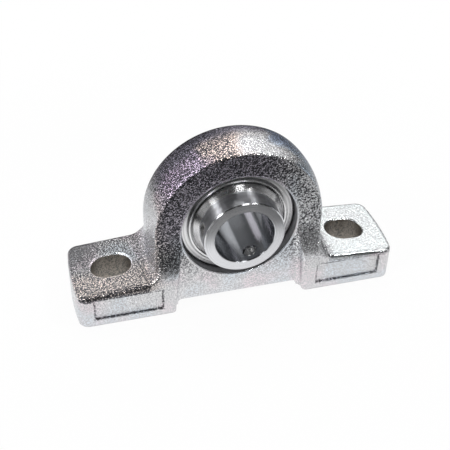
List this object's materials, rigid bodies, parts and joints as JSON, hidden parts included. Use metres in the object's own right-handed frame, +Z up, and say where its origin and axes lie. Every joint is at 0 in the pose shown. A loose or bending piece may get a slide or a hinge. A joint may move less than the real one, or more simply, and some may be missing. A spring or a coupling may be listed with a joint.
{
  "type": "pillow block bearing",
  "caption": "Two-bolt pillow block: a plated cast housing on slotted feet holds a self-aligning ball bearing insert with a long, set-screw-locked inner ring.",
  "frame": {"origin": "on the mounting plane, midway between the bolt slots, straight below the centre of the ball row", "axes": "+X along the base to the right seen from the front, +Z up; the bore runs along Y and the long end of the inner ring faces -Y, the front"},
  "size_m": [0.14, 0.0378, 0.0738],
  "materials": {
    "plated_casting": "bright plating over a rough sand-cast skin",
    "ground_steel": "ground and polished",
    "pressed_steel": "bright pressed sheet",
    "seal_rubber": "matte black",
    "cage_steel": "pressed sheet, tumbled",
    "ball_steel": "polished",
    "screw_steel": "dark oxide"
  },
  "bodies": {
    "housing": {"housing": "plated_casting"},
    "outer_ring": {"outer_ring": "ground_steel", "shield_front": "pressed_steel", "shield_back": "pressed_steel", "seal_front": "seal_rubber", "seal_back": "seal_rubber"},
    "inner_ring": {"inner_ring": "ground_steel", "slinger_front": "pressed_steel", "slinger_back": "pressed_steel"},
    "cage": {"cage_half_front": "cage_steel", "cage_half_back": "cage_steel", "cage_rivets": "cage_steel"},
    "ball_1": {"ball_1": "ball_steel"},
    "ball_2": {"ball_2": "ball_steel"},
    "ball_3": {"ball_3": "ball_steel"},
    "ball_4": {"ball_4": "ball_steel"},
    "ball_5": {"ball_5": "ball_steel"},
    "ball_6": {"ball_6": "ball_steel"},
    "ball_7": {"ball_7": "ball_steel"},
    "ball_8": {"ball_8": "ball_steel"},
    "ball_9": {"ball_9": "ball_steel"},
    "set_screw_left": {"set_screw_left": "screw_steel"},
    "set_screw_lower": {"set_screw_lower": "screw_steel"}
  },
  "joints": [
    {"name": "alignment", "type": "hinge", "parent": "housing", "child": "outer_ring", "pos_m": [0, 0, 0.0365], "axis": [1, 0, 0], "range_deg": [-2.5, 2.5]},
    {"name": "shaft_spin", "type": "hinge", "parent": "outer_ring", "child": "inner_ring", "pos_m": [0, 0, 0.0365], "axis": [0, 1, 0], "continuous": true},
    {"name": "cage_spin", "type": "hinge", "parent": "outer_ring", "child": "cage", "pos_m": [0, 0, 0.0365], "axis": [0, 1, 0], "continuous": true},
    {"name": "ball_1_spin", "type": "hinge", "parent": "cage", "child": "ball_1", "pos_m": [0, 0, 0.056], "axis": [0, 1, 0], "continuous": true},
    {"name": "ball_2_spin", "type": "hinge", "parent": "cage", "child": "ball_2", "pos_m": [-0.01253, 0, 0.05144], "axis": [0, 1, 0], "continuous": true},
    {"name": "ball_3_spin", "type": "hinge", "parent": "cage", "child": "ball_3", "pos_m": [-0.0192, 0, 0.03989], "axis": [0, 1, 0], "continuous": true},
    {"name": "ball_4_spin", "type": "hinge", "parent": "cage", "child": "ball_4", "pos_m": [-0.01689, 0, 0.02675], "axis": [0, 1, 0], "continuous": true},
    {"name": "ball_5_spin", "type": "hinge", "parent": "cage", "child": "ball_5", "pos_m": [-0.00667, 0, 0.01818], "axis": [0, 1, 0], "continuous": true},
    {"name": "ball_6_spin", "type": "hinge", "parent": "cage", "child": "ball_6", "pos_m": [0.00667, 0, 0.01818], "axis": [0, 1, 0], "continuous": true},
    {"name": "ball_7_spin", "type": "hinge", "parent": "cage", "child": "ball_7", "pos_m": [0.01689, 0, 0.02675], "axis": [0, 1, 0], "continuous": true},
    {"name": "ball_8_spin", "type": "hinge", "parent": "cage", "child": "ball_8", "pos_m": [0.0192, 0, 0.03989], "axis": [0, 1, 0], "continuous": true},
    {"name": "ball_9_spin", "type": "hinge", "parent": "cage", "child": "ball_9", "pos_m": [0.01253, 0, 0.05144], "axis": [0, 1, 0], "continuous": true},
    {"name": "set_screw_left_travel", "type": "slide", "parent": "inner_ring", "child": "set_screw_left", "axis": [-0.9799, 0, 0.1994], "range_m": [-0.00025, 0.0015]},
    {"name": "set_screw_lower_travel", "type": "slide", "parent": "inner_ring", "child": "set_screw_lower", "axis": [0.3173, 0, -0.9483], "range_m": [-0.00025, 0.0015]}
  ],
  "couplings": [
    {"joint": "cage_spin", "follows": "shaft_spin", "ratio": 0.39823},
    {"joint": "ball_1_spin", "follows": "shaft_spin", "ratio": -2.3548},
    {"joint": "ball_2_spin", "follows": "shaft_spin", "ratio": -2.3548},
    {"joint": "ball_3_spin", "follows": "shaft_spin", "ratio": -2.3548},
    {"joint": "ball_4_spin", "follows": "shaft_spin", "ratio": -2.3548},
    {"joint": "ball_5_spin", "follows": "shaft_spin", "ratio": -2.3548},
    {"joint": "ball_6_spin", "follows": "shaft_spin", "ratio": -2.3548},
    {"joint": "ball_7_spin", "follows": "shaft_spin", "ratio": -2.3548},
    {"joint": "ball_8_spin", "follows": "shaft_spin", "ratio": -2.3548},
    {"joint": "ball_9_spin", "follows": "shaft_spin", "ratio": -2.3548}
  ]
}
